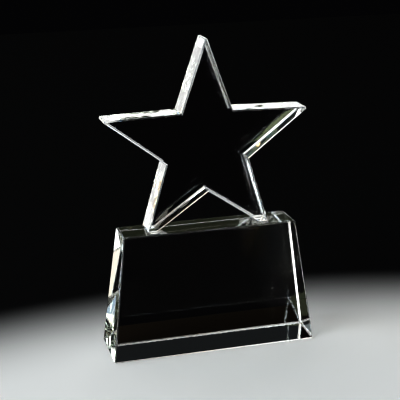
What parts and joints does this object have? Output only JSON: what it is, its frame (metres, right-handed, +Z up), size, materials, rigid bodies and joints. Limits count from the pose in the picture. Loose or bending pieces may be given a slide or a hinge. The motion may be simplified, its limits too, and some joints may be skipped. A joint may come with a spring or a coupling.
{
  "type": "crystal star award",
  "caption": "Free-standing clear crystal award: a thick star plate with bevelled edges, bonded by its lower points to a solid block that narrows upwards on all sides.",
  "frame": {"origin": "middle of the base's underside, on the surface that the award stands on", "axes": "+Z up from the base to the star's top point, +Y from the star's front face to its back face, +X to the right seen from the front"},
  "size_m": [0.1338, 0.0398, 0.2007],
  "materials": {
    "base_crystal": "polished",
    "star_crystal": "polished",
    "clear_adhesive": "clear cured film"
  },
  "bodies": {
    "root": {"crystal_base": "base_crystal", "crystal_star": "star_crystal", "bond_film_left": "clear_adhesive", "bond_film_right": "clear_adhesive"}
  },
  "joints": []
}
